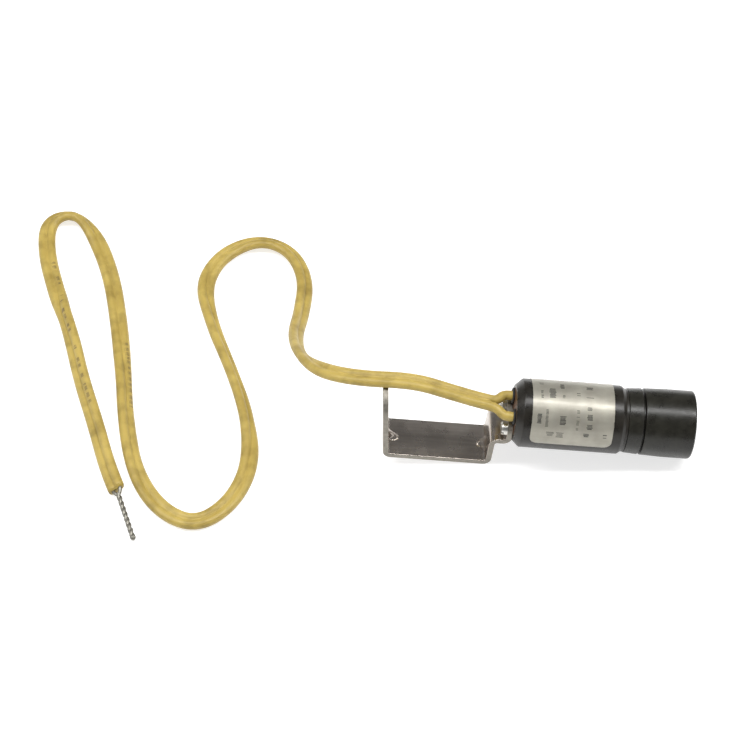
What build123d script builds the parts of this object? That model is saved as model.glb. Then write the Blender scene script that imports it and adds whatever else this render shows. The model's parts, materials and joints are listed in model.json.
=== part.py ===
"""Plug-in photocell flame detector with its twin lead and sheet-metal mounting bracket, in millimetres.

The housing, the plug-in cell unit and the bracket are drawn about the barrel's own axis, and the whole
object is laid down as it rests: on the bracket's front bend and on the lower front edge of the sight sleeve.
Stations along the barrel are counted from its rear face, positive towards the sight end.
"""

import os
from math import asin, atan2, cos, degrees, hypot, pi, radians, sin, tan

from build123d import *

# ---------------------------------------------------------------- driving dimensions
BODY_R = 12.35  # a barrel that just clears a 1 inch hole
BODY_L = 39.4
BORE_R = 9.9
REAR_OPENING_R = 8.9
REAR_LIP = 4.0
REAR_CHAMFER_L = 2.6
REAR_FACE_R = 9.9
FRONT_CHAMFER_L = 1.3
NECK_R = 11.4
NECK_END = 40.3
NOSE_R = 10.9
NOSE_END = 42.9
RUNNING = 0.08  # radial clearance of the fits that turn or slide
FIT = 0.05  # radial clearance of the pieces that are pressed or glued in

LABEL_START = 5.3
LABEL_END = 34.8
LABEL_T = 0.15
LABEL_WRAP = 205  # degrees of the barrel that the label covers
LABEL_LOW_EDGE = -6  # degrees from the horizontal, on the -Y side, where the label's lower edge lies
LABEL_CORNER = 3.0

DISC_END = 6.0
BLOCK_END = 19.0
BLOCK_CHAMFER = 0.8
CONTACT_Y = 4.9
CONTACT_Z = 3.2
CONTACT_START = 8.3
CONTACT_END = 18.6
CONTACT_R = 1.6
CRIMP_END = 12.6
SPRING_START = 13.2
PIN_START = 14.0
PIN_R = 1.0
PIN_POINT = 0.4
PIN_ENTRY_R = 1.25
LEAD_HOLE_R = 2.3
COLLAR_R = 2.9
COLLAR_T = 0.8
INSULATION_END = 8.0

SCREW_Y = 5.6
SCREW_Z = -2.7
SCREW_R = 1.2
SCREW_END = 11.5
SCREW_HOLE_R = 1.4
INSERT_R = 2.15
INSERT_BORE_R = 1.25
INSERT_END = 12.4
WASHER_R = 2.5
WASHER_T = 0.6
HEAD_R = 2.35
HEAD_H = 1.6
HEAD_EDGE = 0.7
SLOT_W = 0.7
SLOT_DEPTH = 0.9

RING_START = 40.4
RING_END = 45.6
RING_REAR_R = 11.6
RING_FRONT_R = 11.95
RING_LIP = 0.9

CARRIER_START = 20.0
CARRIER_END = 43.6
CARRIER_BASE = 3.0
CARRIER_BORE_R = 8.6
CARRIER_CHAMFER = 0.6
HOLDER_R = 8.55
HOLDER_BORE_R = 6.7
HOLDER_SHOULDER = 39.0
HOLDER_NOSE_R = 7.35
HOLDER_END = 45.2
CELL_R = 7.0
CELL_END = 47.0
CELL_LEAD_R = 0.35
FILM_R = 6.0
TRACK_W = 0.8
TRACK_T = 0.15
TRACK_GAP = 0.01
TRACK_PITCH = 1.8
TRACK_REACH = 3.9
ELECTRODE_T = 0.1
FLANGE_END = 44.6
FLANGE_R = 10.85
FLANGE_GASKET_START = 43.0
FLANGE_GASKET_R = 10.8
SLEEVE_NECK_R = 10.3
SLEEVE_START = 46.4
SLEEVE_TAPER_END = 54.5
SLEEVE_END = 64.7
SLEEVE_REAR_R = 12.0
SLEEVE_R = 12.3
SLEEVE_EDGE = 0.8
SLEEVE_MOUTH = 0.6
SPIGOT_START = 39.2
SIGHT_R = 9.4
SIGHT_BORE_R = 7.4
WINDOW_SEAT = 51.0
WINDOW_SEAT_END = 56.0
WINDOW_R = 9.0
WINDOW_GASKET_END = 51.6
GLASS_END = 53.4
WINDOW_RING_END = 55.2
WINDOW_RING_BORE_R = 7.8
SPANNER_SLOT = 0.8

STRIP_W = 16.8
STRIP_T = 2.0
BEND_R = 2.0  # to the middle of the sheet
TAB_Z = -7.3
RISER_S = -6.6
BASE_Z = -19.7
BASE_END = -43.8
ARM_HOLE_R = 3.3
FLANGE_TOP = 0.2
FLANGE_CORNER = 4.0
ARM_CORNER = 8.3
DART = 3.4  # how far along each sheet face a pressed dart reaches from the corner
DART_W = 2.8
DART_ROOT = 0.3  # how deep a dart's solid runs into the sheet

WIRE_R = 1.75  # one insulated conductor of the twin lead
CORE_R = 0.8
TWIN_R = 2.55  # a round tube of the twin lead's own cross-section
MERGE_GAP = 1.8  # half the distance between the two legs where they join
TIP_R = 0.9
TIP_BALL_R = 1.3

# ---------------------------------------------------------------- how the object rests
bend_s, bend_z = RISER_S + STRIP_T / 2 - BEND_R - STRIP_T / 2, BASE_Z + BEND_R
bend_outer_r = BEND_R + STRIP_T / 2
edge_s, edge_z = SLEEVE_END - SLEEVE_EDGE, SLEEVE_EDGE - SLEEVE_R
tilt = atan2(edge_z - bend_z, edge_s - bend_s)
tilt += asin((bend_outer_r - SLEEVE_EDGE) / hypot(edge_s - bend_s, edge_z - bend_z))
along, down = cos(tilt), sin(tilt)
arm_length = -BASE_Z / along + STRIP_W / 2
arm_outer_x = BASE_END * along + BASE_Z * down - STRIP_T / 2
sight_x = SLEEVE_END * along + (SLEEVE_R - SLEEVE_EDGE) * down
rear_x = -(arm_outer_x + sight_x) / 2
axis_z = bend_outer_r + bend_s * down - bend_z * along


def placed(s, y=0.0, z=0.0):
    """The point at station s, y across and z above the barrel's axis, as the object rests."""
    return (rear_x + s * along + z * down, y, axis_z - s * down + z * along)


side = Plane(origin=placed(0), x_dir=(along, 0, -down), z_dir=(0, -1, 0))
end = Plane(origin=placed(0), x_dir=(0, 1, 0), z_dir=(along, 0, -down))
barrel_axis = Axis(placed(0), (along, 0, -down))


def turned(*profile):
    """Add a closed profile of (station, radius) points turned about the barrel's axis."""
    with BuildSketch(side) as outline:
        with BuildLine():
            Polyline(*profile, close=True)
        make_face()
    revolve(outline.sketch, axis=barrel_axis)


def rod(start, stop, radius, *places, mode=Mode.ADD):
    """Add or cut round bars along the barrel, from station start to stop, centred on each (y, z) place."""
    with BuildSketch(end.offset(start)) as circles:
        with Locations(*places):
            Circle(radius)
    extrude(circles.sketch, amount=stop - start, mode=mode)


contacts = [(-CONTACT_Y, CONTACT_Z), (CONTACT_Y, CONTACT_Z)]
screws = [(-SCREW_Y, SCREW_Z), (SCREW_Y, SCREW_Z)]

# ---------------------------------------------------------------- housing and its label
with BuildPart() as housing_body:
    turned(
        (0, REAR_OPENING_R),
        (0, REAR_FACE_R),
        (REAR_CHAMFER_L, BODY_R),
        (BODY_L - FRONT_CHAMFER_L, BODY_R),
        (BODY_L, NECK_R),
        (NECK_END, NECK_R),
        (NECK_END, NOSE_R),
        (NOSE_END, NOSE_R),
        (NOSE_END, BORE_R),
        (REAR_LIP, BORE_R),
        (REAR_LIP, REAR_OPENING_R),
    )

label_start_angle = 180 - LABEL_LOW_EDGE - LABEL_WRAP
label_l = LABEL_END - LABEL_START
label_mid = (LABEL_START + LABEL_END) / 2
with BuildPart() as name_label:
    with BuildSketch(end.offset(LABEL_START)):
        with BuildLine():
            inner = CenterArc((0, 0), BODY_R, label_start_angle, LABEL_WRAP)
            outer = CenterArc((0, 0), BODY_R + LABEL_T, label_start_angle, LABEL_WRAP)
            Line(inner @ 0, outer @ 0)
            Line(inner @ 1, outer @ 1)
        make_face()
    extrude(amount=label_l)
    for angle, inward in ((label_start_angle, -1), (label_start_angle + LABEL_WRAP, 1)):
        across, up = cos(radians(angle)), sin(radians(angle))
        edge_plane = Plane(origin=placed(0), x_dir=(along, 0, -down), z_dir=(up * down, across, up * along))
        with BuildSketch(edge_plane):
            with Locations((label_mid, 0)):
                Rectangle(LABEL_END, 2 * LABEL_CORNER)
            with Locations((label_mid, inward * 2 * LABEL_CORNER)):
                RectangleRounded(label_l, 4 * LABEL_CORNER, LABEL_CORNER, mode=Mode.SUBTRACT)
        extrude(amount=BODY_R + 2 * LABEL_T, mode=Mode.SUBTRACT)

# ---------------------------------------------------------------- rear disc, socket and wiring inside
with BuildPart() as rear_disc:
    turned(
        (0, 0),
        (0, REAR_OPENING_R - FIT),
        (REAR_LIP, REAR_OPENING_R - FIT),
        (REAR_LIP, BORE_R - FIT),
        (DISC_END, BORE_R - FIT),
        (DISC_END, 0),
    )
    rod(0, DISC_END, LEAD_HOLE_R, *contacts, mode=Mode.SUBTRACT)
    rod(0, DISC_END, SCREW_HOLE_R, *screws, mode=Mode.SUBTRACT)

with BuildPart() as lead_grommets:
    rod(-COLLAR_T, 0, COLLAR_R, *contacts)
    rod(0, DISC_END, LEAD_HOLE_R - FIT, *contacts)
    rod(-COLLAR_T, DISC_END, WIRE_R + FIT, *contacts, mode=Mode.SUBTRACT)

with BuildPart() as inner_leads:
    rod(-COLLAR_T, INSULATION_END, WIRE_R, *contacts)

with BuildPart() as inner_conductors:
    rod(INSULATION_END, CRIMP_END, CORE_R, *contacts)

with BuildPart() as socket_block:
    turned((DISC_END, 0), (DISC_END, BORE_R - FIT), (BLOCK_END, BORE_R - FIT), (BLOCK_END, 0))
    rod(DISC_END, INSULATION_END + FIT, WIRE_R + FIT, *contacts, mode=Mode.SUBTRACT)
    rod(INSULATION_END + FIT, CONTACT_END, CONTACT_R + FIT, *contacts, mode=Mode.SUBTRACT)
    rod(CONTACT_END, BLOCK_END, PIN_ENTRY_R, *contacts, mode=Mode.SUBTRACT)
    rod(DISC_END, INSERT_END + FIT, INSERT_R + FIT, *screws, mode=Mode.SUBTRACT)
    front_rim = socket_block.faces().sort_by(barrel_axis)[-1].edges().sort_by(SortBy.LENGTH)[-1]
    chamfer(front_rim, length=BLOCK_CHAMFER)

with BuildPart() as socket_contacts:
    rod(CONTACT_START, CONTACT_END, CONTACT_R, *contacts)
    rod(CONTACT_START, CRIMP_END, CORE_R + FIT, *contacts, mode=Mode.SUBTRACT)
    rod(SPRING_START, CONTACT_END, PIN_R + FIT, *contacts, mode=Mode.SUBTRACT)

with BuildPart() as threaded_inserts:
    rod(DISC_END + FIT, INSERT_END, INSERT_R, *screws)
    rod(DISC_END + FIT, INSERT_END, INSERT_BORE_R, *screws, mode=Mode.SUBTRACT)

# ---------------------------------------------------------------- mounting bracket and its fixings
hole_plane = Plane(origin=placed(BASE_END + BASE_Z * down / along), x_dir=(0, 1, 0), z_dir=(1, 0, 0))

with BuildPart() as mounting_bracket:
    arm_top = (BASE_END - arm_length * down, BASE_Z + arm_length * along)
    with BuildSketch(side):
        with BuildLine():
            FilletPolyline(
                (-STRIP_T / 2, FLANGE_TOP),
                (-STRIP_T / 2, TAB_Z),
                (RISER_S, TAB_Z),
                (RISER_S, BASE_Z),
                (BASE_END, BASE_Z),
                arm_top,
                radius=BEND_R,
            )
        trace(line_width=STRIP_T)
    extrude(amount=STRIP_W / 2, both=True)
    top_face = mounting_bracket.faces().sort_by(Axis.Z)[-1]
    fillet(top_face.edges().filter_by(Axis.X), radius=ARM_CORNER)
    flange_corners = mounting_bracket.edges().filter_by(barrel_axis).group_by(barrel_axis)[-1]
    fillet(flange_corners, radius=FLANGE_CORNER)
    inner_z = BASE_Z + STRIP_T / 2
    arm_s = BASE_END + STRIP_T / 2 - DART * down
    riser_s = RISER_S - STRIP_T / 2
    for corner, way in ((arm_s, 1), (riser_s, -1)):
        with BuildSketch(side):
            with BuildLine():
                Polyline(
                    (corner - way * DART_ROOT, inner_z - DART_ROOT),
                    (corner + way * (DART + DART_ROOT), inner_z - DART_ROOT),
                    (corner + way * DART, inner_z),
                    (corner, inner_z + DART),
                    (corner - way * DART_ROOT, inner_z + DART),
                    close=True,
                )
            make_face()
        extrude(amount=DART_W / 2, both=True)
    with BuildSketch(hole_plane):
        Circle(ARM_HOLE_R)
    extrude(amount=STRIP_T * 2, both=True, mode=Mode.SUBTRACT)
    rod(-STRIP_T, 0, SCREW_HOLE_R, *screws, mode=Mode.SUBTRACT)

head_seat = -STRIP_T - WASHER_T
head_top = head_seat - HEAD_H
with BuildPart() as screw_washers:
    rod(head_seat, -STRIP_T, WASHER_R, *screws)
    rod(head_seat, -STRIP_T, SCREW_HOLE_R, *screws, mode=Mode.SUBTRACT)

with BuildPart() as bracket_screws:
    rod(head_top, head_seat, HEAD_R, *screws)
    fillet(bracket_screws.edges().filter_by(GeomType.CIRCLE).group_by(barrel_axis)[0], radius=HEAD_EDGE)
    with BuildSketch(end.offset(head_top)):
        with Locations(*screws):
            Rectangle(2 * HEAD_R, SLOT_W)
    extrude(amount=SLOT_DEPTH, mode=Mode.SUBTRACT)
    rod(head_seat, SCREW_END, SCREW_R, *screws)

# ---------------------------------------------------------------- plug-in cell unit
holder_start = CARRIER_START + CARRIER_BASE
with BuildPart() as cell_carrier:
    turned(
        (CARRIER_START, 0),
        (CARRIER_START, BORE_R - RUNNING - CARRIER_CHAMFER),
        (CARRIER_START + CARRIER_CHAMFER, BORE_R - RUNNING),
        (CARRIER_END, BORE_R - RUNNING),
        (CARRIER_END, CARRIER_BORE_R),
        (holder_start, CARRIER_BORE_R),
        (holder_start, 0),
    )
    rod(CARRIER_START, holder_start, PIN_R + FIT, *contacts, mode=Mode.SUBTRACT)

with BuildPart() as contact_pins:
    rod(PIN_START, holder_start, PIN_R, *contacts)
    chamfer(contact_pins.edges().filter_by(GeomType.CIRCLE).group_by(barrel_axis)[0], length=PIN_POINT)

with BuildPart() as cell_holder:
    turned(
        (holder_start, HOLDER_BORE_R),
        (holder_start, HOLDER_R),
        (HOLDER_SHOULDER, HOLDER_R),
        (HOLDER_SHOULDER, HOLDER_NOSE_R),
        (HOLDER_END, HOLDER_NOSE_R),
        (HOLDER_END, HOLDER_BORE_R),
    )

with BuildPart() as photocell_disc:
    turned((HOLDER_END, 0), (HOLDER_END, CELL_R), (CELL_END, CELL_R), (CELL_END, 0))

with BuildPart() as photocell_leads:
    rod(holder_start, HOLDER_END, CELL_LEAD_R, *contacts)

# The light-sensitive track runs to and fro in five rows across the disc's face, and leaves it at both ends.
track_points = [(-TRACK_REACH, FILM_R)]
for number, row in enumerate((2, 1, 0, -1, -2)):
    turn = 1 if number % 2 else -1
    track_points.append((turn * TRACK_REACH, row * TRACK_PITCH))
    track_points.append((-turn * TRACK_REACH, row * TRACK_PITCH))
track_points.append((TRACK_REACH, -FILM_R))

with BuildPart() as photocell_track:
    with BuildSketch(end.offset(CELL_END)):
        with BuildLine():
            Polyline(*track_points)
        trace(line_width=TRACK_W)
        Circle(FILM_R, mode=Mode.INTERSECT)
    extrude(amount=TRACK_T)

with BuildPart() as photocell_electrodes:
    with BuildSketch(end.offset(CELL_END)):
        Circle(FILM_R)
        with BuildLine():
            Polyline(*track_points)
        trace(line_width=TRACK_W + 2 * TRACK_GAP, mode=Mode.SUBTRACT)
    extrude(amount=ELECTRODE_T)

with BuildPart() as sight_sleeve:
    turned(
        (SPIGOT_START, SIGHT_BORE_R),
        (SPIGOT_START, CARRIER_BORE_R - FIT),
        (CARRIER_END, CARRIER_BORE_R - FIT),
        (CARRIER_END, FLANGE_R),
        (FLANGE_END, FLANGE_R),
        (FLANGE_END, SLEEVE_NECK_R),
        (SLEEVE_START, SLEEVE_NECK_R),
        (SLEEVE_START, SLEEVE_REAR_R),
        (SLEEVE_TAPER_END, SLEEVE_R),
        (SLEEVE_END, SLEEVE_R),
        (SLEEVE_END, SIGHT_R),
        (WINDOW_SEAT_END, SIGHT_R),
        (WINDOW_SEAT_END, WINDOW_R),
        (WINDOW_SEAT, WINDOW_R),
        (WINDOW_SEAT, SIGHT_BORE_R),
    )
    mouth = sight_sleeve.edges().filter_by(GeomType.CIRCLE).group_by(barrel_axis)[-1].sort_by(SortBy.LENGTH)
    fillet(mouth[-1], radius=SLEEVE_EDGE)
    chamfer(mouth[0], length=SLEEVE_MOUTH)


def hoop(start, stop, bore_r, outer_r):
    """Add a plain ring about the barrel's axis."""
    turned((start, bore_r), (start, outer_r), (stop, outer_r), (stop, bore_r))


with BuildPart() as window_gasket:
    hoop(WINDOW_SEAT, WINDOW_GASKET_END, SIGHT_BORE_R + FIT, WINDOW_R - FIT)

with BuildPart() as window_glass:
    hoop(WINDOW_GASKET_END, GLASS_END, 0, WINDOW_R - FIT)

with BuildPart() as window_ring:
    hoop(GLASS_END, WINDOW_RING_END, WINDOW_RING_BORE_R, WINDOW_R - FIT)
    with BuildSketch(end.offset(WINDOW_RING_END - SPANNER_SLOT)):
        with PolarLocations((WINDOW_RING_BORE_R + WINDOW_R) / 2, 2):
            Rectangle(2 * (WINDOW_R - WINDOW_RING_BORE_R), 2 * SPANNER_SLOT)
    extrude(amount=SPANNER_SLOT, mode=Mode.SUBTRACT)

with BuildPart() as flange_gasket:
    hoop(FLANGE_GASKET_START, CARRIER_END, BORE_R, FLANGE_GASKET_R)

with BuildPart() as locking_ring:
    ring_bore_r = NOSE_R + RUNNING
    lip_start = RING_END - RING_LIP
    turned(
        (RING_START, ring_bore_r),
        (RING_START, RING_REAR_R),
        (RING_END, RING_FRONT_R),
        (RING_END, SLEEVE_NECK_R + RUNNING),
        (lip_start, SLEEVE_NECK_R + RUNNING),
        (lip_start, ring_bore_r),
    )

# ---------------------------------------------------------------- twin lead
FLOOR = TWIN_R + 0.05
twin_route = [
    (-19.0, 0.2, 25.6),
    (-31.0, 0.6, 32.5),
    (-44.5, 1.6, 41.0),
    (-64.5, 2.6, 41.0),
    (-78.0, 10.0, 33.0),
    (-86.7, 25.5, 20.5),
    (-89.4, 44.0, 9.5),
    (-86.6, 61.5, FLOOR),
    (-85.0, 79.0, FLOOR),
    (-91.3, 94.0, FLOOR),
    (-104.0, 99.5, FLOOR),
    (-117.6, 92.2, FLOOR),
    (-124.4, 77.0, FLOOR),
    (-120.2, 56.0, FLOOR),
    (-112.3, 34.0, FLOOR),
    (-105.9, 13.0, FLOOR),
    (-103.5, -9.0, FLOOR),
    (-109.7, -27.0, FLOOR),
    (-122.0, -37.7, FLOOR),
    (-135.0, -31.7, FLOOR),
    (-145.4, -15.0, FLOOR),
    (-150.0, 9.0, FLOOR),
    (-152.2, 34.0, FLOOR),
    (-155.2, 58.0, FLOOR),
    (-159.2, 81.0, FLOOR),
    (-166.0, 101.0, FLOOR),
    (-175.0, 113.0, FLOOR),
    (-185.5, 109.5, FLOOR),
    (-185.0, 93.0, FLOOR),
    (-179.4, 72.0, FLOOR),
    (-172.6, 51.0, FLOOR),
    (-167.4, 29.0, FLOOR),
    (-160.9, 8.0, FLOOR),
    (-155.4, -12.5, FLOOR),
    (-151.6, -22.0, FLOOR),
]
lead_tip = (-144.8, -42.5, TIP_BALL_R + 0.05)


def corner_radii(points):
    """The radius at each corner of a route: 0.45 of the shorter run over the tangent of half the turn."""
    corners = []
    for before, point, after in zip(points, points[1:], points[2:]):
        arriving = Vector(point) - Vector(before)
        leaving = Vector(after) - Vector(point)
        half_turn = radians(arriving.get_angle(leaving)) / 2
        corners.append(0.45 * min(arriving.length, leaving.length) / tan(half_turn))
    return corners


twin_radii = corner_radii(twin_route)
print("twin lead radii:", [round(r, 1) for r in twin_radii])

with BuildPart() as twin_lead:
    with BuildLine() as twin_path:
        FilletPolyline(*twin_route, radius=twin_radii)
    with BuildSketch(twin_path.wire() ^ 0):
        Circle(TWIN_R)
    sweep()
twin_length = twin_path.wire().length
print("twin lead:", round(twin_length, 1), "mm, volume over section times length:")
print(round(twin_lead.part.volume / (pi * TWIN_R**2 * twin_length), 4))

with BuildPart() as lead_legs:
    for way in (-1, 1):
        leg_route = [
            placed(-COLLAR_T, way * CONTACT_Y, CONTACT_Z),
            placed(-4.0, way * CONTACT_Y, CONTACT_Z),
            placed(-7.6, way * (MERGE_GAP + 0.5), CONTACT_Z + 0.6),
            (twin_route[0][0], twin_route[0][1] + way * MERGE_GAP, twin_route[0][2]),
        ]
        with BuildLine() as leg_path:
            FilletPolyline(*leg_route, radius=corner_radii(leg_route))
        with BuildSketch(leg_path.wire() ^ 0):
            Circle(WIRE_R)
        sweep(path=leg_path.wire())

with BuildPart() as tinned_ends:
    with BuildLine() as tip_path:
        Line(twin_route[-1], lead_tip)
    with BuildSketch(tip_path.wire() ^ 0):
        Circle(TIP_R)
    sweep()
    with Locations(lead_tip):
        Sphere(TIP_BALL_R)

# ---------------------------------------------------------------- the finished pieces
pieces = {
    "housing_body": housing_body,
    "name_label": name_label,
    "rear_disc": rear_disc,
    "lead_grommets": lead_grommets,
    "inner_leads": inner_leads,
    "inner_conductors": inner_conductors,
    "socket_block": socket_block,
    "socket_contacts": socket_contacts,
    "threaded_inserts": threaded_inserts,
    "mounting_bracket": mounting_bracket,
    "screw_washers": screw_washers,
    "bracket_screws": bracket_screws,
    "cell_carrier": cell_carrier,
    "contact_pins": contact_pins,
    "cell_holder": cell_holder,
    "photocell_disc": photocell_disc,
    "photocell_leads": photocell_leads,
    "photocell_track": photocell_track,
    "photocell_electrodes": photocell_electrodes,
    "sight_sleeve": sight_sleeve,
    "window_gasket": window_gasket,
    "window_glass": window_glass,
    "window_ring": window_ring,
    "flange_gasket": flange_gasket,
    "locking_ring": locking_ring,
    "twin_lead": twin_lead,
    "lead_legs": lead_legs,
    "tinned_ends": tinned_ends,
}
os.makedirs("parts", exist_ok=True)
for name, piece in pieces.items():
    piece.part.label = name
    export_step(piece.part, f"parts/{name}.step")

print("tilt", round(degrees(tilt), 3), "rear face at", [round(v, 3) for v in placed(0)])
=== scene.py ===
"""Looks of a plug-in photocell flame detector: barrel, foil label, sheet-metal bracket and yellow twin lead.

Lengths are in millimetres and are turned into metres where they meet Blender. Pieces of the barrel are made
in the barrel's own frame: the station along it from its rear face, across it, and upright from its axis.
"""

import json
import math
import random

import bmesh
import bpy
from mathutils import Matrix, Vector


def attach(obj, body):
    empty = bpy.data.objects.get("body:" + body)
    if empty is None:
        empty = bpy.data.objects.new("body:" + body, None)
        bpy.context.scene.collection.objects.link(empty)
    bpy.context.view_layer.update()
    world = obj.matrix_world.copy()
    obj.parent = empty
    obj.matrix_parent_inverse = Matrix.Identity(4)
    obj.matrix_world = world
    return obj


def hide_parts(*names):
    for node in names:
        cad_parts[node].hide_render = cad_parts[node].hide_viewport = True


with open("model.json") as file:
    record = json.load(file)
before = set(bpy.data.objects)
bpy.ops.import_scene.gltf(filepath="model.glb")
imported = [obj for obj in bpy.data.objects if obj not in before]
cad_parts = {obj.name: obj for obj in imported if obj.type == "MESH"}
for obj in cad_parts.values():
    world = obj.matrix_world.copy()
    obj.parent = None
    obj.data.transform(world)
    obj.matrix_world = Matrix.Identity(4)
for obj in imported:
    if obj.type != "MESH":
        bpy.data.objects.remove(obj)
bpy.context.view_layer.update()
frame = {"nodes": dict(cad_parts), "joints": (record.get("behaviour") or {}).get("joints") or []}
nodes = frame["nodes"]
joints = {joint["name"]: joint for joint in frame["joints"]}

MM = 0.001

# ---------------------------------------------------------------- the barrel's own frame
RING_JOINT_STATION = 43.0
AXIS = Vector(joints["cell_unit_slide"]["axis"]).normalized()
ACROSS = Vector((0, 1, 0))
UPRIGHT = AXIS.cross(ACROSS)
REAR = Vector(joints["locking_ring_turn"]["pos_m"]) - AXIS * RING_JOINT_STATION * MM
BARREL = Matrix.Translation(REAR) @ Matrix((AXIS, ACROSS, UPRIGHT)).transposed().to_4x4()
DIP = math.asin(-AXIS.z)


def placed(s, y=0.0, z=0.0):
    """The point at station s, y across and z above the barrel's axis, in metres in the row frame."""
    return BARREL @ (Vector((s, y, z)) * MM)


# ---------------------------------------------------------------- camera
SENSOR = 36.0
FOCAL_LENGTH = 144.0
ELEVATION = math.radians(50.0)
DISTANCE = 1.113
LOOK_AT = Vector((-0.0590, 0.0337, 0.0))

camera_data = bpy.data.cameras.new("camera")
camera_data.sensor_width = SENSOR
camera_data.lens = FOCAL_LENGTH
camera = bpy.data.objects.new("camera", camera_data)
towards_camera = Vector((0, -math.cos(ELEVATION), math.sin(ELEVATION)))
camera.location = LOOK_AT + towards_camera * DISTANCE
camera.rotation_euler = towards_camera.to_track_quat("Z", "Y").to_euler()
bpy.context.scene.collection.objects.link(camera)
bpy.context.scene.camera = camera


# ---------------------------------------------------------------- materials
class Shader:
    """A material with its Principled shader, and short ways to feed it from procedural textures."""

    def __init__(self, name):
        self.material = bpy.data.materials.new(name)
        self.material.use_nodes = True
        self.nodes = self.material.node_tree.nodes
        self.links = self.material.node_tree.links
        self.principled = self.nodes["Principled BSDF"]

    def set(self, socket, value):
        self.principled.inputs[socket].default_value = value

    def feed(self, socket, output):
        self.links.new(output, self.principled.inputs[socket])

    def noise(self, scale, detail=3.0, stretch=(1, 1, 1)):
        """Noise in the piece's own space, scale in cells per metre, squeezed along each axis by stretch."""
        where = self.nodes.new("ShaderNodeTexCoord")
        mapping = self.nodes.new("ShaderNodeMapping")
        mapping.inputs["Scale"].default_value = stretch
        texture = self.nodes.new("ShaderNodeTexNoise")
        texture.inputs["Scale"].default_value = scale
        texture.inputs["Detail"].default_value = detail
        self.links.new(where.outputs["Object"], mapping.inputs["Vector"])
        self.links.new(mapping.outputs["Vector"], texture.inputs["Vector"])
        return texture.outputs["Fac"]

    def colours(self, factor, *stops):
        """A colour ramp over factor, with (position, colour) stops."""
        node = self.nodes.new("ShaderNodeValToRGB")
        elements = node.color_ramp.elements
        while len(elements) < len(stops):
            elements.new(0.5)
        for element, (position, colour) in zip(elements, stops):
            element.position = position
            element.color = (*colour, 1)
        self.links.new(factor, node.inputs["Fac"])
        return node.outputs["Color"]

    def spread(self, factor, low, high):
        """The middle of the noise's range, mapped onto low to high."""
        node = self.nodes.new("ShaderNodeMapRange")
        node.inputs["From Min"].default_value = 0.3
        node.inputs["From Max"].default_value = 0.7
        node.inputs["To Min"].default_value = low
        node.inputs["To Max"].default_value = high
        self.links.new(factor, node.inputs["Value"])
        return node.outputs["Result"]

    def mix(self, factor, first, second):
        """Two colours mixed by factor, which is a number or a texture's output."""
        node = self.nodes.new("ShaderNodeMix")
        node.data_type = "RGBA"
        if isinstance(factor, float):
            node.inputs["Factor"].default_value = factor
        else:
            self.links.new(factor, node.inputs["Factor"])
        self.links.new(first, node.inputs["A"])
        self.links.new(second, node.inputs["B"])
        return node.outputs["Result"]

    def bump(self, *layers):
        """Bumps one on another, each (height, depth in metres)."""
        normal = None
        for height, depth in layers:
            node = self.nodes.new("ShaderNodeBump")
            node.inputs["Strength"].default_value = 1.0
            node.inputs["Distance"].default_value = depth
            self.links.new(height, node.inputs["Height"])
            if normal:
                self.links.new(normal, node.inputs["Normal"])
            normal = node.outputs["Normal"]
        self.feed("Normal", normal)


def surface(name, dark, light, roughness, metallic=0.0, drift=180, grain=2500, depth=2e-6, stretch=(1, 1, 1)):
    """A surface whose colour and roughness drift slowly, with a fine grain pressed into it."""
    shader = Shader(name)
    slow = shader.noise(drift, 4.0, stretch)
    fine = shader.noise(grain, 2.0, stretch)
    shader.feed("Base Color", shader.colours(slow, (0.3, dark), (0.7, light)))
    shader.feed("Roughness", shader.spread(slow, *roughness))
    shader.set("Metallic", metallic)
    shader.bump((fine, depth))
    return shader.material


def moulded(name, dark, light, roughness):
    """Black moulded plastic: dusty drift, faint turning marks round the barrel and a fine grain."""
    shader = Shader(name)
    dust = shader.noise(300, 5.0)
    turning = shader.noise(2600, 1.0, (1, 0.02, 0.02))
    grain = shader.noise(4200, 2.0)
    shader.feed("Base Color", shader.colours(dust, (0.35, dark), (0.72, light)))
    shader.feed("Roughness", shader.spread(dust, *roughness))
    shader.set("Specular IOR Level", 0.36)
    shader.bump((turning, 1.2e-6), (grain, 2e-6))
    return shader.material


BRUSHED_ALONG = (0.06, 1, 1)

black_plastic = moulded("black_plastic", (0.009, 0.0078, 0.0058), (0.019, 0.0165, 0.0125), (0.24, 0.36))
sleeve_plastic = moulded("sleeve_plastic", (0.009, 0.0085, 0.006), (0.018, 0.0172, 0.0125), (0.25, 0.35))
phenolic = surface("brown_phenolic", (0.075, 0.032, 0.012), (0.13, 0.06, 0.025), (0.38, 0.55), drift=500)
rubber = surface("black_rubber", (0.012, 0.012, 0.011), (0.022, 0.021, 0.019), (0.6, 0.75), drift=400)
zinc_steel = surface("zinc_steel", (0.50, 0.49, 0.46), (0.66, 0.65, 0.61), (0.25, 0.42), 1.0, drift=500)
brass = surface("contact_brass", (0.62, 0.45, 0.19), (0.78, 0.60, 0.28), (0.22, 0.36), 1.0, drift=600)
tinned_copper = surface(
    "tinned_copper", (0.20, 0.19, 0.165), (0.29, 0.28, 0.24), (0.42, 0.58), 1.0, drift=900
)
white_plastic = surface("white_plastic", (0.62, 0.60, 0.55), (0.74, 0.72, 0.67), (0.40, 0.50))
ceramic = surface("ceramic", (0.74, 0.70, 0.62), (0.84, 0.80, 0.73), (0.50, 0.65), drift=700)
photo_film = surface("photocell_film", (0.42, 0.10, 0.02), (0.58, 0.18, 0.04), (0.45, 0.60), drift=900)
sheared_edge = surface(
    "sheared_edge", (0.20, 0.185, 0.16), (0.33, 0.31, 0.27), (0.52, 0.66), 1.0, drift=700, depth=4e-6
)
electrode_metal = surface("electrode_metal", (0.66, 0.65, 0.62), (0.80, 0.79, 0.76), (0.25, 0.35), 1.0)
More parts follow.
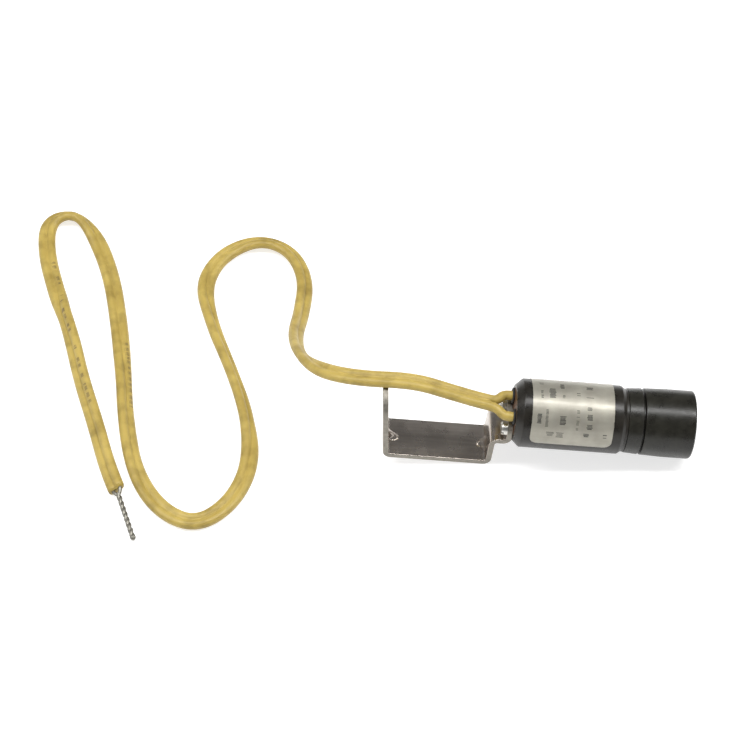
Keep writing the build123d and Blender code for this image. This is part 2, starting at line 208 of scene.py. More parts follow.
label_ink = surface("label_ink", (0.035, 0.034, 0.028), (0.085, 0.082, 0.070), (0.45, 0.62), drift=900)
lead_ink = surface("lead_ink", (0.11, 0.08, 0.025), (0.22, 0.155, 0.05), (0.50, 0.62), drift=900)


def make_label_foil():
    """Brushed foil under a clear film, a little clouded and scuffed."""
    shader = Shader("label_foil")
    cloud = shader.noise(150, 4.0)
    brushing = shader.noise(1500, 3.0, BRUSHED_ALONG)
    shader.feed("Base Color", shader.colours(cloud, (0.3, (0.27, 0.258, 0.215)), (0.7, (0.38, 0.362, 0.305))))
    shader.feed("Roughness", shader.spread(brushing, 0.36, 0.52))
    shader.set("Metallic", 0.5)
    shader.set("Coat Weight", 0.25)
    shader.set("Coat Roughness", 0.18)
    shader.bump((brushing, 2.5e-6), (cloud, 1.5e-5))
    return shader.material


def make_bright_steel():
    """Cold-rolled sheet, bright plated: rolled along its length, with darker stains and small scuffs."""
    shader = Shader("bright_steel")
    rolling = shader.noise(900, 3.0, BRUSHED_ALONG)
    stain = shader.noise(95, 4.0)
    scuffs = shader.noise(2400, 2.0)
    plain = shader.colours(stain, (0.35, (0.40, 0.355, 0.315)), (0.68, (0.50, 0.455, 0.41)))
    streaked = shader.colours(rolling, (0.35, (0.38, 0.34, 0.305)), (0.65, (0.52, 0.475, 0.43)))
    shader.feed("Base Color", shader.mix(0.5, plain, streaked))
    shader.feed("Roughness", shader.spread(stain, 0.20, 0.32))
    shader.set("Metallic", 1.0)
    shader.bump((rolling, 1.5e-6), (scuffs, 1e-6))
    return shader.material


def make_lead_yellow():
    """Soft vinyl insulation, a little dirty: ochre clouds, grey-brown smears and a fine skin."""
    shader = Shader("lead_yellow")
    cloud = shader.noise(75, 3.0)
    smear = shader.noise(190, 4.0)
    skin = shader.noise(2600, 2.0)
    clean = shader.colours(cloud, (0.3, (0.37, 0.268, 0.062)), (0.7, (0.47, 0.35, 0.092)))
    dirty = shader.colours(cloud, (0.3, (0.25, 0.178, 0.040)), (0.7, (0.33, 0.245, 0.062)))
    dirt = shader.spread(smear, -0.55, 0.9)
    shader.feed("Base Color", shader.mix(dirt, clean, dirty))
    shader.feed("Roughness", shader.spread(smear, 0.38, 0.52))
    shader.set("Specular IOR Level", 0.38)
    shader.bump((smear, 2e-5), (skin, 4e-6))
    return shader.material


def make_window_glass():
    shader = Shader("window_glass")
    smear = shader.noise(220, 3.0)
    shader.set("Base Color", (0.93, 0.97, 0.96, 1))
    shader.feed("Roughness", shader.spread(smear, 0.02, 0.07))
    shader.set("Transmission Weight", 1.0)
    shader.set("IOR", 1.5)
    return shader.material


label_foil = make_label_foil()
bright_steel = make_bright_steel()
lead_yellow = make_lead_yellow()
window_glass = make_window_glass()

CAD_MATERIALS = {
    "rear_disc": phenolic,
    "socket_block": phenolic,
    "inner_leads": lead_yellow,
    "inner_conductors": tinned_copper,
    "socket_contacts": brass,
    "threaded_inserts": brass,
    "contact_pins": brass,
    "screw_washers": zinc_steel,
    "bracket_screws": zinc_steel,
    "cell_carrier": black_plastic,
    "cell_holder": white_plastic,
    "photocell_disc": ceramic,
    "photocell_leads": tinned_copper,
    "photocell_track": photo_film,
    "photocell_electrodes": electrode_metal,
    "window_gasket": rubber,
    "window_glass": window_glass,
    "window_ring": zinc_steel,
    "flange_gasket": rubber,
}
for node_name, material in CAD_MATERIALS.items():
    cad_mesh = nodes[node_name].data
    cad_mesh.materials.clear()
    cad_mesh.materials.append(material)


# ---------------------------------------------------------------- making pieces
def piece(name, bm, material, body, replaced=(), matrix=Matrix.Identity(4)):
    """A smooth-shaded piece from a bmesh, which rides on its body and stands for the CAD nodes replaced."""
    bmesh.ops.recalc_face_normals(bm, faces=bm.faces)
    mesh = bpy.data.meshes.new(name)
    bm.to_mesh(mesh)
    bm.free()
    for polygon in mesh.polygons:
        polygon.use_smooth = True
    mesh.materials.append(material)
    made = bpy.data.objects.new(name, mesh)
    made.matrix_world = matrix
    bpy.context.scene.collection.objects.link(made)
    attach(made, body)
    if replaced:
        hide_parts(*replaced)
    return made


def weight_normals(made):
    """Keep the large faces flat, so that only the rounded edges catch the light."""
    modifier = made.modifiers.new("weighted_normals", "WEIGHTED_NORMAL")
    modifier.weight = 80
    return made


ARC_STEP = math.radians(15)


def softened(corners):
    """A closed polygon of (x, y, radius) corners, with each corner rounded to its radius."""
    points = []
    for number, (x, y, radius) in enumerate(corners):
        corner = Vector((x, y))
        arriving = corner - Vector(corners[number - 1][:2])
        leaving = Vector(corners[(number + 1) % len(corners)][:2]) - corner
        if radius == 0:
            points.append(corner)
            continue
        turn = arriving.angle(leaving)
        side = -1 if arriving.x * leaving.y - arriving.y * leaving.x < 0 else 1
        start = corner - arriving.normalized() * radius * math.tan(turn / 2)
        centre = start + Vector((-arriving.y, arriving.x)).normalized() * side * radius
        steps = max(2, round(turn / ARC_STEP))
        for step in range(steps + 1):
            points.append(centre + Matrix.Rotation(side * turn * step / steps, 2) @ (start - centre))
    return points


def bridge(bm, rings, closed_ring=True):
    """Join rows of vertices, each to the next, with quads."""
    for first, second in zip(rings, rings[1:]):
        count = len(first)
        for k in range(count if closed_ring else count - 1):
            j = (k + 1) % count
            bm.faces.new((first[k], first[j], second[j], second[k]))


TURNED_SIDES = 160


def turned(corners, y=0.0, z=0.0, sides=TURNED_SIDES):
    """A closed profile of (station, radius, corner radius) turned about a line along the barrel."""
    profile = softened(corners)
    bm = bmesh.new()
    rings = []
    for number in range(sides):
        angle = 2 * math.pi * number / sides
        across, up = math.cos(angle), math.sin(angle)
        ring = [bm.verts.new(Vector((p.x, y + p.y * across, z + p.y * up)) * MM) for p in profile]
        rings.append(ring)
    bridge(bm, rings + [rings[0]])
    return bm


# ---------------------------------------------------------------- barrel: housing, sleeve and locking ring
weight_normals(piece("barrel_housing", turned([
    (0, 8.9, 0.15), (0, 9.9, 0.45), (2.6, 12.35, 0.9), (38.1, 12.35, 0.6), (39.4, 11.4, 0.2),
    (40.3, 11.4, 0.15), (40.3, 10.9, 0.1), (42.9, 10.9, 0.2), (42.9, 9.9, 0.2), (4.0, 9.9, 0), (4.0, 8.9, 0),
]), black_plastic, "housing", ["housing_body"], BARREL))

weight_normals(piece("sight_sleeve_shell", turned([
    (39.2, 7.4, 0), (39.2, 8.55, 0.2), (43.6, 8.55, 0), (43.6, 10.85, 0.15), (44.6, 10.85, 0.15),
    (44.6, 10.3, 0.1), (46.4, 10.3, 0.15), (46.4, 12.0, 0.3), (54.5, 12.3, 2.0), (64.7, 12.3, 0.8),
    (64.7, 10.0, 0.25), (64.1, 9.4, 0.2), (56.0, 9.4, 0), (56.0, 9.0, 0), (51.0, 9.0, 0), (51.0, 7.4, 0),
]), sleeve_plastic, "front_unit", ["sight_sleeve"], BARREL))

weight_normals(piece("cell_locking_ring", turned([
    (40.4, 10.98, 0.15), (40.4, 11.6, 0.3), (45.6, 11.95, 0.3), (45.6, 10.38, 0.15), (44.7, 10.38, 0),
    (44.7, 10.98, 0),
]), sleeve_plastic, "lock_ring", ["locking_ring"], BARREL))

# ---------------------------------------------------------------- label and its print
LABEL_START, LABEL_END = 5.3, 34.8
LABEL_R = 12.5
LABEL_BACK_R = 12.34
LABEL_ANGLES = (-19.0, 186.0)  # degrees round the barrel from +Y, upwards
LABEL_CORNER = 3.0


def on_barrel(station, angle, radius):
    """A point at a station and an angle in degrees round the barrel, in the barrel's frame."""
    turn = math.radians(angle)
    return Vector((station, radius * math.cos(turn), radius * math.sin(turn))) * MM


def label_sheet():
    """A curved sheet with rounded corners, with its thin edge and its back."""
    bm = bmesh.new()
    corner_angle = math.degrees(LABEL_CORNER / LABEL_R)
    stations = [LABEL_START + LABEL_CORNER * (1 - math.cos(math.radians(a))) for a in range(0, 91, 10)]
    stations += [(LABEL_START + LABEL_END) / 2]
    stations += [LABEL_START + LABEL_END - s for s in reversed(stations[:-1])]
    rows = 72
    layers = []
    for radius in (LABEL_R, LABEL_BACK_R):
        columns = []
        for station in stations:
            inset = max(0.0, 1 - min(station - LABEL_START, LABEL_END - station) / LABEL_CORNER)
            cut = corner_angle * (1 - math.sqrt(max(0.0, 1 - inset**2)))
            low, high = LABEL_ANGLES[0] + cut, LABEL_ANGLES[1] - cut
            angles = [low + (high - low) * row / rows for row in range(rows + 1)]
            columns.append([bm.verts.new(on_barrel(station, angle, radius)) for angle in angles])
        bridge(bm, columns, closed_ring=False)
        layers.append(columns)
    front, back = layers
    rims = []
    for columns in (front, back):
        rims.append(columns[0] + [c[-1] for c in columns[1:-1]] + columns[-1][::-1]
                    + [c[0] for c in columns[-2:0:-1]])
    bridge(bm, rims)
    return bm


piece("foil_label", label_sheet(), label_foil, "housing", ["name_label"], BARREL)

INK_T = 0.012
INK_R = LABEL_R + INK_T


def ink_patch(bm, station, angle, length, width):
    """A thin block of ink, length along the barrel and width round it in millimetres."""
    half = math.degrees(width / 2 / INK_R)
    rows = max(1, round(width / 0.8))
    columns = []
    for end in (station - length / 2, station + length / 2):
        columns.append([bm.verts.new(on_barrel(end, angle - half + 2 * half * row / rows, INK_R))
                        for row in range(rows + 1)])
    bridge(bm, columns, closed_ring=False)


# Smudged blocks of print: station, angle, length along the barrel, width round it, and how dense it is.
PRINT_BLOCKS = [
    (12.4, 91, 2.6, 4.4, 1.0), (16.0, 74, 1.7, 2.8, 1.0), (7.9, 137.5, 1.7, 3.6, 1.0),
    (16.3, 138, 2.4, 3.3, 1.0), (26.0, 130, 2.5, 2.1, 1.0), (26.1, 146, 2.3, 1.9, 1.0),
    (25.2, 161, 2.3, 1.5, 0.8), (8.6, 95, 1.0, 3.4, 0.8), (25.9, 75, 2.5, 1.7, 1.0),
    (25.9, 95, 4.0, 0.9, 0.7), (32.0, 161, 1.6, 1.6, 0.8), (21.7, 91, 1.4, 1.4, 0.8),
    (10.6, 136, 1.3, 6.5, 0.55), (21.7, 136, 1.5, 7.5, 0.4), (25.8, 116, 2.3, 1.3, 0.6),
    (14.0, 164, 7.0, 2.3, 0.5), (16.4, 96, 1.2, 2.0, 0.5), (8.6, 70, 2.2, 1.4, 0.4),
    (10.5, 28, 1.2, 7.0, 0.6), (20.0, 26, 1.2, 8.0, 0.5), (29.0, 30, 1.2, 6.0, 0.6),
]


PRINT_ROW = 0.46
PRINT_COLUMN = 2.8


def label_print():
    """Blocks of short plain dashes, which spell nothing."""
    draw = random.Random(7)
    bm = bmesh.new()
    for station, angle, length, width, share in PRINT_BLOCKS:
        rows = max(2, round(width / PRINT_ROW))
        row_width = width / rows
        columns = max(1, round(length / PRINT_COLUMN))
        column_length = length / columns
        for row in range(rows):
            at = angle + math.degrees((row + 0.5 - rows / 2) * row_width / INK_R)
            for column in range(columns):
                if draw.random() > 0.55 + 0.45 * share:
                    continue
                middle = station + (column + 0.5 - columns / 2) * column_length
                dash = column_length * draw.uniform(0.7, 1.0) * share**0.3
                ink_patch(bm, middle + draw.uniform(-0.08, 0.08), at, dash,
                          row_width * draw.uniform(0.6, 0.9) * share**0.6)
    return bm


piece("label_print", label_print(), label_ink, "housing", matrix=BARREL)

# ---------------------------------------------------------------- rear end: grommets round the leads
CONTACT_Y, CONTACT_Z = 4.9, 3.2
COLLAR_T = 0.8
for side_name, side in (("right", -1), ("left", 1)):
    grommet = turned([
        (-COLLAR_T, 1.8, 0.1), (-COLLAR_T, 2.9, 0.35), (0, 2.9, 0), (0, 2.25, 0), (6.0, 2.25, 0),
        (6.0, 1.8, 0),
    ], side * CONTACT_Y, CONTACT_Z, sides=48)
    weight_normals(piece(f"lead_grommet_{side_name}", grommet, rubber, "housing",
                         ["lead_grommets"], BARREL))

# ---------------------------------------------------------------- mounting bracket, bent from a flat strip
STRIP_W = 16.8
STRIP_T = 2.0
BEND_R = 2.0  # to the middle of the sheet
EDGE_R = 0.22
FLANGE_TOP = 0.2
TAB_Z = -7.3
RISER_S = -6.6
BASE_Z = -19.7
BASE_END = -43.8
ARM_LENGTH = -BASE_Z / math.cos(DIP) + STRIP_W / 2
DART = 3.4  # how far the darts pressed into the bends reach from a bend, along the strip
DART_W = 2.8
DART_MARGIN = 0.6
DART_GRID_ALONG = 0.4
DART_GRID_ACROSS = 0.27
FLANGE_CORNER = 4.0
CLAMP_HOLE = (2.9, 5.6, 1.4)  # along the strip from its upper end, either side of its middle, and radius
ARM_HOLE_R = 3.3

BRACKET_CORNERS = [Vector(p) for p in (
    (-STRIP_T / 2, FLANGE_TOP), (-STRIP_T / 2, TAB_Z), (RISER_S, TAB_Z), (RISER_S, BASE_Z),
    (BASE_END, BASE_Z),
    (BASE_END - ARM_LENGTH * math.sin(DIP), BASE_Z + ARM_LENGTH * math.cos(DIP)),
)]


def bracket_path():
    """The sheet's middle line as stretches (unfolded start, end, point, direction, turn), turn in radians."""
    stretches = []
    reached = 0.0
    point = BRACKET_CORNERS[0]
    for number in range(1, len(BRACKET_CORNERS)):
        corner = BRACKET_CORNERS[number]
        direction = (corner - point).normalized()
        last = number == len(BRACKET_CORNERS) - 1
        if last:
            turn = trim = 0.0
        else:
            leaving = BRACKET_CORNERS[number + 1] - corner
            turn = direction.angle_signed(leaving) * -1
            trim = BEND_R * math.tan(abs(turn) / 2)
        run = (corner - point).length - trim
        stretches.append((reached, reached + run, point, direction, 0.0))
        reached += run
        if not last:
            bend = BEND_R * abs(turn)
            stretches.append((reached, reached + bend, point + direction * run, direction, turn))
            reached += bend
            point = corner + leaving.normalized() * trim
    return stretches, reached


BRACKET_PATH, UNFOLDED = bracket_path()
BENDS = [stretch for stretch in BRACKET_PATH if stretch[4]]
DARTED_BENDS = BENDS[2:4]


def bent(unfolded, thickness):
    """The profile point (station, upright) at a distance along the flat strip and through its thickness."""
    for start, stop, point, direction, turn in BRACKET_PATH:
        if unfolded <= stop + 1e-6:
            break
    reached = unfolded - start
    if turn:
        angle = turn * reached / (stop - start)
        side = math.copysign(1, turn)
        left = Vector((-direction.y, direction.x))
        centre = point + left * side * BEND_R
        radial = Matrix.Rotation(angle, 2) @ (left * -side)
        return centre + radial * (BEND_R - thickness * side)
    left = Vector((-direction.y, direction.x))
    return point + direction * reached + left * thickness


def flat_strip():
    """The flat blank: outline with rounded ends, holes, and edges rounded a little by the curve's bevel."""
    curve = bpy.data.curves.new("bracket_blank", "CURVE")
    curve.dimensions = "2D"
    curve.fill_mode = "BOTH"
    half = STRIP_W / 2
    arm_corner = half - 0.1
    outline = softened([(0, -half, FLANGE_CORNER), (UNFOLDED, -half, arm_corner),
                        (UNFOLDED, half, arm_corner), (0, half, FLANGE_CORNER)])
    loops = [outline]
    along, across, radius = CLAMP_HOLE
    holes = [(along, -across, radius), (along, across, radius), (UNFOLDED - half, 0, ARM_HOLE_R)]
    for x, y, r in holes:
        loops.append([Vector((x + r * math.cos(a), y + r * math.sin(a)))
                      for a in (2 * math.pi * k / 36 for k in range(36))])
    for loop in loops:
        spline = curve.splines.new("POLY")
        spline.points.add(len(loop) - 1)
        for control, point in zip(spline.points, loop):
            control.co = (point.x, point.y, 0, 1)
        spline.use_cyclic_u = True
    curve.extrude = STRIP_T / 2 - EDGE_R
    curve.bevel_depth = EDGE_R
    curve.bevel_resolution = 2
    curve.offset = -EDGE_R
    holder = bpy.data.objects.new("bracket_blank", curve)
    mesh = bpy.data.meshes.new_from_object(holder)
    bm = bmesh.new()
    bm.from_mesh(mesh)
    bpy.data.objects.remove(holder)
    bpy.data.meshes.remove(mesh)
    bmesh.ops.remove_doubles(bm, verts=bm.verts, dist=1e-4)
    return bm


def cut(bm, point, normal, inside):
    """Split the faces whose middle is inside along a plane."""
    faces = [f for f in bm.faces if inside(f.calc_center_median())]
    geometry = set(faces) | {e for f in faces for e in f.edges} | {v for f in faces for v in f.verts}
    bmesh.ops.bisect_plane(bm, geom=list(geometry), plane_co=point, plane_no=normal, dist=1e-5)


def dart_reach(unfolded):
    """How far the sheet is pressed in at a distance along the strip, and which way in its profile."""
    for start, stop, point, direction, turn in DARTED_BENDS:
        if not start - DART <= unfolded <= stop + DART:
            continue
        side = math.copysign(1, turn)
        leaving = Matrix.Rotation(turn, 2) @ direction
        inward = (leaving - direction).normalized()
        corner = point + direction * BEND_R * math.tan(abs(turn) / 2)
        inner_corner = corner + inward * (STRIP_T / 2) / math.cos(abs(turn) / 2)
        chord = inner_corner + inward * DART * math.cos(abs(turn) / 2)
        depth = (chord - bent(unfolded, side * STRIP_T / 2)).dot(inward)
        return max(0.0, depth), inward
    return 0.0, Vector((0, 0))


def dart_share(across):
    """1 on the dart's ridge, falling smoothly to 0 at its sides."""
    t = min(1.0, max(0.0, (abs(across) - 0.25) / (DART_W / 2 + 0.35)))
    return 1 - t * t * (3 - 2 * t)


def bracket_sheet():
    bm = flat_strip()
    for start, stop, _, _, turn in BRACKET_PATH:
        if turn:
            for k in range(9):
                cut(bm, (start + (stop - start) * k / 8, 0, 0), (1, 0, 0), lambda c: True)
        else:
            cut(bm, ((start + stop) / 2, 0, 0), (1, 0, 0), lambda c: True)
    for start, stop, _, _, _ in DARTED_BENDS:
        low, high = start - DART - DART_MARGIN, stop + DART + DART_MARGIN
        for edge in (low, high):
            cut(bm, (edge, 0, 0), (1, 0, 0), lambda c: True)
        for k in range(-8, 9):
            cut(bm, (0, k * DART_GRID_ACROSS, 0), (0, 1, 0), lambda c, a=low, b=high: a < c.x < b)
        for k in range(1, 10):
            for base, way in ((start, -1), (stop, 1)):
                cut(bm, (base + way * k * DART_GRID_ALONG, 0, 0), (1, 0, 0),
                    lambda c, a=low, b=high: a < c.x < b)
    for face in bm.faces:  # the strip is still flat here: its edges are the faces that don't look up or down
        face.material_index = 0 if abs(face.normal.z) > 0.5 else 1
    for vertex in bm.verts:
        unfolded, across, thickness = vertex.co
        profile = bent(unfolded, thickness)
        depth, inward = dart_reach(unfolded)
        profile = profile + inward * depth * dart_share(across)
        vertex.co = Vector((profile.x, across, profile.y)) * MM
    return bm


bracket = weight_normals(piece("bent_bracket", bracket_sheet(), bright_steel, "housing",
                               ["mounting_bracket"], BARREL))
bracket.data.materials.append(sheared_edge)

# ---------------------------------------------------------------- the twin lead
WIRE_R = 1.75
WIRE_APART = 1.55  # from the middle of the twin lead to the middle of each of its wires
WEB_HALF = 0.95
TUBE_FLOOR = 2.6  # height of the route's points above the floor
REST_GAP = 0.05
MERGE = 7.5  # from the exit to where the two wires join

LEAD_ROUTE = [
    (-0.0098, 0.0000, 0.0228),
    (-0.0185, 0.0003, 0.0252),
    (-0.0310, 0.0006, 0.0304),
    (-0.0450, 0.0016, 0.0359),
    (-0.0640, 0.0026, 0.0359),
    (-0.0770, 0.0095, 0.0315),
    (-0.0862, 0.0250, 0.0200),
    (-0.0889, 0.0440, 0.0095),
    (-0.0866, 0.0615, 0.0026),
    (-0.0850, 0.0790, 0.0026),
    (-0.0913, 0.0940, 0.0026),
    (-0.1040, 0.0995, 0.0026),
    (-0.1176, 0.0922, 0.0026),
    (-0.1244, 0.0770, 0.0026),
    (-0.1202, 0.0560, 0.0026),
    (-0.1123, 0.0340, 0.0026),
    (-0.1059, 0.0130, 0.0026),
    (-0.1035, -0.0090, 0.0026),
    (-0.1097, -0.0270, 0.0026),
    (-0.1220, -0.0377, 0.0026),
    (-0.1350, -0.0317, 0.0026),
    (-0.1454, -0.0150, 0.0026),
    (-0.1500, 0.0090, 0.0026),
    (-0.1522, 0.0340, 0.0026),
    (-0.1552, 0.0580, 0.0026),
    (-0.1592, 0.0810, 0.0026),
    (-0.1660, 0.1010, 0.0026),
    (-0.1750, 0.1130, 0.0026),
    (-0.1855, 0.1095, 0.0026),
    (-0.1850, 0.0930, 0.0026),
    (-0.1794, 0.0720, 0.0026),
    (-0.1726, 0.0510, 0.0026),
    (-0.1674, 0.0290, 0.0026),
    (-0.1609, 0.0080, 0.0026),
    (-0.1554, -0.0125, 0.0026),
    (-0.1516, -0.0220, 0.0026),
]
LEAD_TIP = (-0.1448, -0.0425, 0.00135)

# How far the flat lead is turned on its edge, in degrees, at distances along it from the exit.
LEAD_TWIST = [
    (0, 0), (70, 0), (96, 56), (120, 46), (142, 36), (172, 34), (195, 8), (232, -52), (255, -58), (276, -52),
    (304, -6), (350, 0), (374, 30), (403, 40), (434, 6), (474, 0), (494, 54), (512, 6), (540, 0), (557, 52),
    (576, 40), (640, 34), (660, 20),
]


def spline_through(points, step):
    """Points a step apart, in metres, along the NURBS spline that has these control points."""
    curve = bpy.data.curves.new("route", "CURVE")
    curve.dimensions = "3D"
    curve.resolution_u = 32
    spline = curve.splines.new("NURBS")
    spline.points.add(len(points) - 1)
    for control, point in zip(spline.points, points):
        control.co = (*point, 1)
    spline.order_u = 3
    spline.use_endpoint_u = True
    holder = bpy.data.objects.new("route", curve)
    mesh = bpy.data.meshes.new_from_object(holder)
    dense = [vertex.co.copy() for vertex in mesh.vertices]
    bpy.data.objects.remove(holder)
    bpy.data.meshes.remove(mesh)
    along = [0.0]
    for first, second in zip(dense, dense[1:]):
        along.append(along[-1] + (second - first).length)
    count = round(along[-1] / step)
    even = []
    k = 0
    for number in range(count + 1):
        distance = along[-1] * number / count
        while k < len(dense) - 2 and along[k + 1] < distance:
            k += 1
        share = (distance - along[k]) / (along[k + 1] - along[k])
        even.append(dense[k].lerp(dense[k + 1], share))
    return even, along[-1]


def eased(keys, at):
    """The value at a distance, easing from each key (distance, value) to the next."""
    for (start, low), (stop, high) in zip(keys, keys[1:]):
        if at <= stop:
            t = max(0.0, (at - start) / (stop - start))
            return low + (high - low) * t * t * (3 - 2 * t)
    return keys[-1][1]


RING_STEP = 1.2 * MM
lead_line, lead_length = spline_through(LEAD_ROUTE, RING_STEP)
lead_step = lead_length / (len(lead_line) - 1)


class LeadRing:
    """One cross-section of the flat lead: its middle, its width direction and its upward direction."""

    def __init__(self, number):
        self.distance = number * lead_step / MM
        before, after = lead_line[max(0, number - 1)], lead_line[min(len(lead_line) - 1, number + 1)]
        self.tangent = (after - before).normalized()
        twist = math.radians(eased(LEAD_TWIST, self.distance))
        flat = Vector((0, 0, 1)).cross(self.tangent).normalized()
        self.width = Matrix.Rotation(twist, 3, self.tangent) @ flat
        self.up = self.tangent.cross(self.width)
        lift = WIRE_R + REST_GAP + WIRE_APART * abs(math.sin(twist)) - TUBE_FLOOR
        self.middle = lead_line[number] + Vector((0, 0, lift * MM))

    def point(self, across, upward):
        return self.middle + (self.width * across + self.up * upward) * MM


lead_rings = [LeadRing(number) for number in range(len(lead_line))]


def lead_section(scale=1.0):
    """Outline of two wires side by side with a web between them, as (across, upward) points."""
    outline = []
    for side in (1, -1):
        for k in range(13):
            angle = math.radians(-90 + 15 * k)
            outline.append((side * (WIRE_APART + WIRE_R * math.cos(angle)), side * WIRE_R * math.sin(angle)))
        for k in range(1, 8):
            across = side * WIRE_APART * (1 - k / 4)
            wire = math.sqrt(max(0.0, WIRE_R**2 - (WIRE_APART - abs(across)) ** 2))
            outline.append((across, side * (wire**6 + WEB_HALF**6) ** (1 / 6)))
    return [(x * scale, z * scale) for x, z in outline]


def capped(bm, rings):
    """Close both ends of a tube made of rings."""
    bm.faces.new(rings[0])
    bm.faces.new(rings[-1][::-1])


def twin_lead_tube():
    bm = bmesh.new()
    rings = []
    chosen = [ring for ring in lead_rings if ring.distance >= MERGE]
    for number, ring in enumerate(chosen):
        scale = 0.94 if number in (0, len(chosen) - 1) else 1.0
        rings.append([bm.verts.new(ring.point(x, z)) for x, z in lead_section(scale)])
    bridge(bm, rings)
    capped(bm, rings)
    return bm, chosen


lead_bm, shown_rings = twin_lead_tube()
twin_lead = piece("yellow_twin_lead", lead_bm, lead_yellow, "housing", ["twin_lead"])


def tube(bm, points, radius, sides=20):
    """A round tube through points, in metres, with its radius in millimetres, or one for each point."""
    radii = radius if isinstance(radius, list) else [radius] * len(points)
    direction = (points[1] - points[0]).normalized()
    across = direction.orthogonal().normalized()
    rings = []
    for number, point in enumerate(points):
        ahead = points[min(len(points) - 1, number + 1)] - points[max(0, number - 1)]
        turn = direction.rotation_difference(ahead.normalized())
        across = turn @ across
        direction = ahead.normalized()
        up = direction.cross(across)
        ring = []
        for k in range(sides):
            angle = 2 * math.pi * k / sides
            outward = across * math.cos(angle) + up * math.sin(angle)
            ring.append(bm.verts.new(point + outward * radii[number] * MM))
        rings.append(ring)
    bridge(bm, rings)
    capped(bm, rings)


def ring_at(distance):
    """The lead's cross-section nearest to a distance along it in millimetres."""
    return lead_rings[min(len(lead_rings) - 1, round(distance * MM / lead_step))]


def lead_legs():
    bm = bmesh.new()
    for side in (-1, 1):
        joined = [ring_at(MERGE + further).point(-side * WIRE_APART, 0) for further in (0, 2, 4)]
        route = [
            placed(-COLLAR_T + 2, side * CONTACT_Y, CONTACT_Z),
            placed(-COLLAR_T, side * CONTACT_Y, CONTACT_Z),
            placed(-3.8, side * CONTACT_Y, CONTACT_Z),
            placed(-6.0, side * 2.3, CONTACT_Z + 0.3),
        ] + joined
        points, _ = spline_through(route, 0.6 * MM)
        tube(bm, points, WIRE_R)
    return bm


legs = piece("split_lead_legs", lead_legs(), lead_yellow, "housing", ["lead_legs"])


STRAND_R = 0.68
STRAND_APART = 0.30
STRAND_TURNS = 4.5
STRAND_STEPS = 110
GATHER = 3.0  # along the bare ends, until the two strands meet
TWIST_START = 2.0
BALL_R = 1.05
BALL_HALF_LENGTH = 1.15


def tinned_strands():
    """Two tinned conductors that come out of the lead's cut end and are twisted together."""
    bm = bmesh.new()
    last = lead_rings[-1]
    tip = Vector(LEAD_TIP)
    reach = (tip - last.middle).length / MM
    line = (tip - last.middle).normalized()
    across = (last.width - line * last.width.dot(line)).normalized()
    up = line.cross(across)
    for side in (-1, 1):
        points = []
        for k in range(STRAND_STEPS + 1):
            t = k / STRAND_STEPS
            along = reach * t
            gather = min(1.0, along / GATHER)
            apart = WIRE_APART + (STRAND_APART - WIRE_APART) * gather * gather * (3 - 2 * gather)
            angle = 2 * math.pi * STRAND_TURNS * max(0.0, along - TWIST_START) / reach
            offset = (across * math.cos(angle) + up * math.sin(angle)) * side * apart * MM
            points.append(last.middle + line * along * MM + offset)
        tube(bm, points, STRAND_R, sides=14)
    turns = [math.radians(angle) for angle in range(0, 181, 15)]
    ball = [tip - line * MM * BALL_HALF_LENGTH * math.cos(turn) for turn in turns]
    tube(bm, ball, [max(0.05, BALL_R * math.sin(turn)) for turn in turns])
    return bm


tinned = piece("twisted_tinned_ends", tinned_strands(), tinned_copper, "housing",
               ["tinned_ends"])

# Short plain marks printed along one wire: from and to distance, and which wire.
LEAD_PRINT = [(528, 600, 1), (395, 425, -1)]


def lead_print():
    draw = random.Random(3)
    bm = bmesh.new()
    lift = WIRE_R + INK_T
    for start, stop, side in LEAD_PRINT:
        distance = float(start)
        while distance < stop:
            length = draw.uniform(0.8, 2.2)
            if draw.random() < 0.72:
                rings = []
                for at in (distance, distance + length / 2, distance + length):
                    ring = ring_at(at)
                    slip = (at - ring.distance) * MM
                    points = []
                    for angle in (-26, -9, 8, 25):
                        turn = math.radians(angle)
                        place = ring.point(side * WIRE_APART + lift * math.sin(turn), lift * math.cos(turn))
                        points.append(bm.verts.new(place + ring.tangent * slip))
                    rings.append(points)
                bridge(bm, rings, closed_ring=False)
            distance += length + draw.uniform(0.5, 1.4)
    return bm


lead_marks = piece("lead_print", lead_print(), lead_ink, "housing")

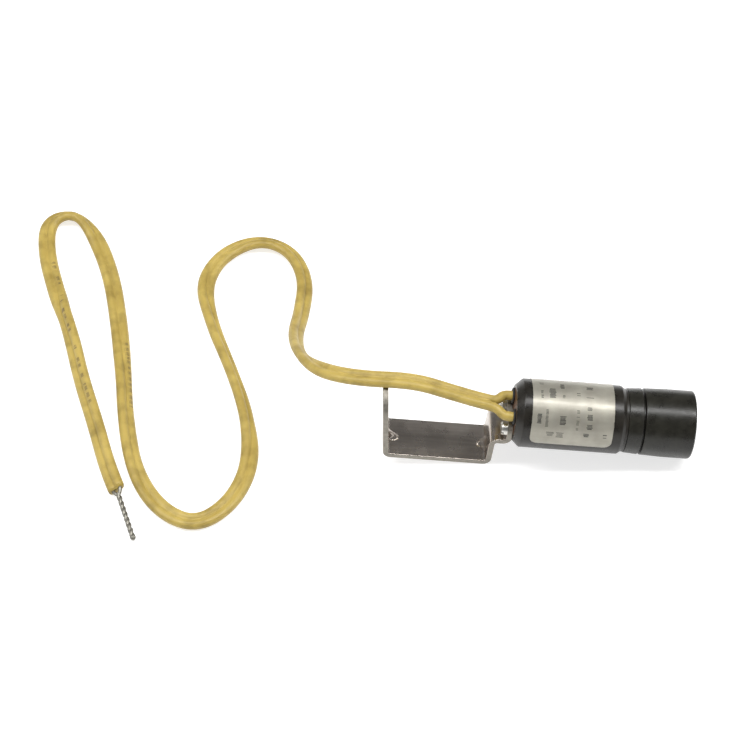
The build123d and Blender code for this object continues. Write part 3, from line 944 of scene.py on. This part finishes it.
# ---------------------------------------------------------------- floor, light and surroundings
FLOOR_SIZE = 4.0
floor_bm = bmesh.new()
bmesh.ops.create_grid(floor_bm, x_segments=1, y_segments=1, size=FLOOR_SIZE)
floor_mesh = bpy.data.meshes.new("floor")
floor_bm.to_mesh(floor_mesh)
floor_bm.free()
floor_shader = Shader("pale_floor")
paper = floor_shader.noise(60, 3.0)
paper_white = floor_shader.colours(paper, (0.3, (0.50, 0.50, 0.495)), (0.7, (0.52, 0.52, 0.515)))
floor_shader.feed("Base Color", paper_white)
floor_shader.set("Roughness", 0.9)
floor_shader.set("Specular IOR Level", 0.1)
floor_shader.set("Emission Color", (1, 1, 1, 1))  # a lit table, which leaves only faint shadows
floor_shader.set("Emission Strength", 0.72)
floor_mesh.materials.append(floor_shader.material)
floor = bpy.data.objects.new("floor", floor_mesh)
bpy.context.scene.collection.objects.link(floor)


def soft_box(name, place, target, width, length, power):
    """A rectangular light at place, facing target, its length along X where it looks straight down."""
    light = bpy.data.lights.new(name, "AREA")
    light.shape = "RECTANGLE"
    light.size = length
    light.size_y = width
    light.energy = power
    holder = bpy.data.objects.new(name, light)
    holder.location = place
    facing = Vector(place) - Vector(target)
    holder.rotation_euler = facing.to_track_quat("Z", "Y").to_euler()
    bpy.context.scene.collection.objects.link(holder)


CENTRE = (-0.06, 0.03, 0.0)
soft_box("overhead_strip", (CENTRE[0], CENTRE[1] - 0.02, 0.95), CENTRE, 0.20, 2.4, 19.0)
soft_box("left_box", (CENTRE[0] - 1.5, CENTRE[1], 1.25), CENTRE, 1.2, 1.2, 5)
soft_box("right_box", (CENTRE[0] + 1.5, CENTRE[1], 1.25), CENTRE, 1.2, 1.2, 5)

world = bpy.data.worlds.new("surroundings")
world.use_nodes = True
bpy.context.scene.world = world
world_nodes, world_links = world.node_tree.nodes, world.node_tree.links
direction = world_nodes.new("ShaderNodeTexCoord")
split = world_nodes.new("ShaderNodeSeparateXYZ")
sky = world_nodes.new("ShaderNodeValToRGB")
SKY = [(0.0, 0.26), (0.28, 0.24), (0.52, 0.22), (0.85, 0.19), (1.0, 0.34)]
while len(sky.color_ramp.elements) < len(SKY):
    sky.color_ramp.elements.new(0.5)
for element, (height, brightness) in zip(sky.color_ramp.elements, SKY):
    element.position = height
    element.color = (brightness, brightness, brightness, 1)
world_links.new(direction.outputs["Generated"], split.inputs["Vector"])
world_links.new(split.outputs["Z"], sky.inputs["Fac"])
world_links.new(sky.outputs["Color"], world_nodes["Background"].inputs["Color"])

bpy.context.scene.view_settings.view_transform = "Standard"
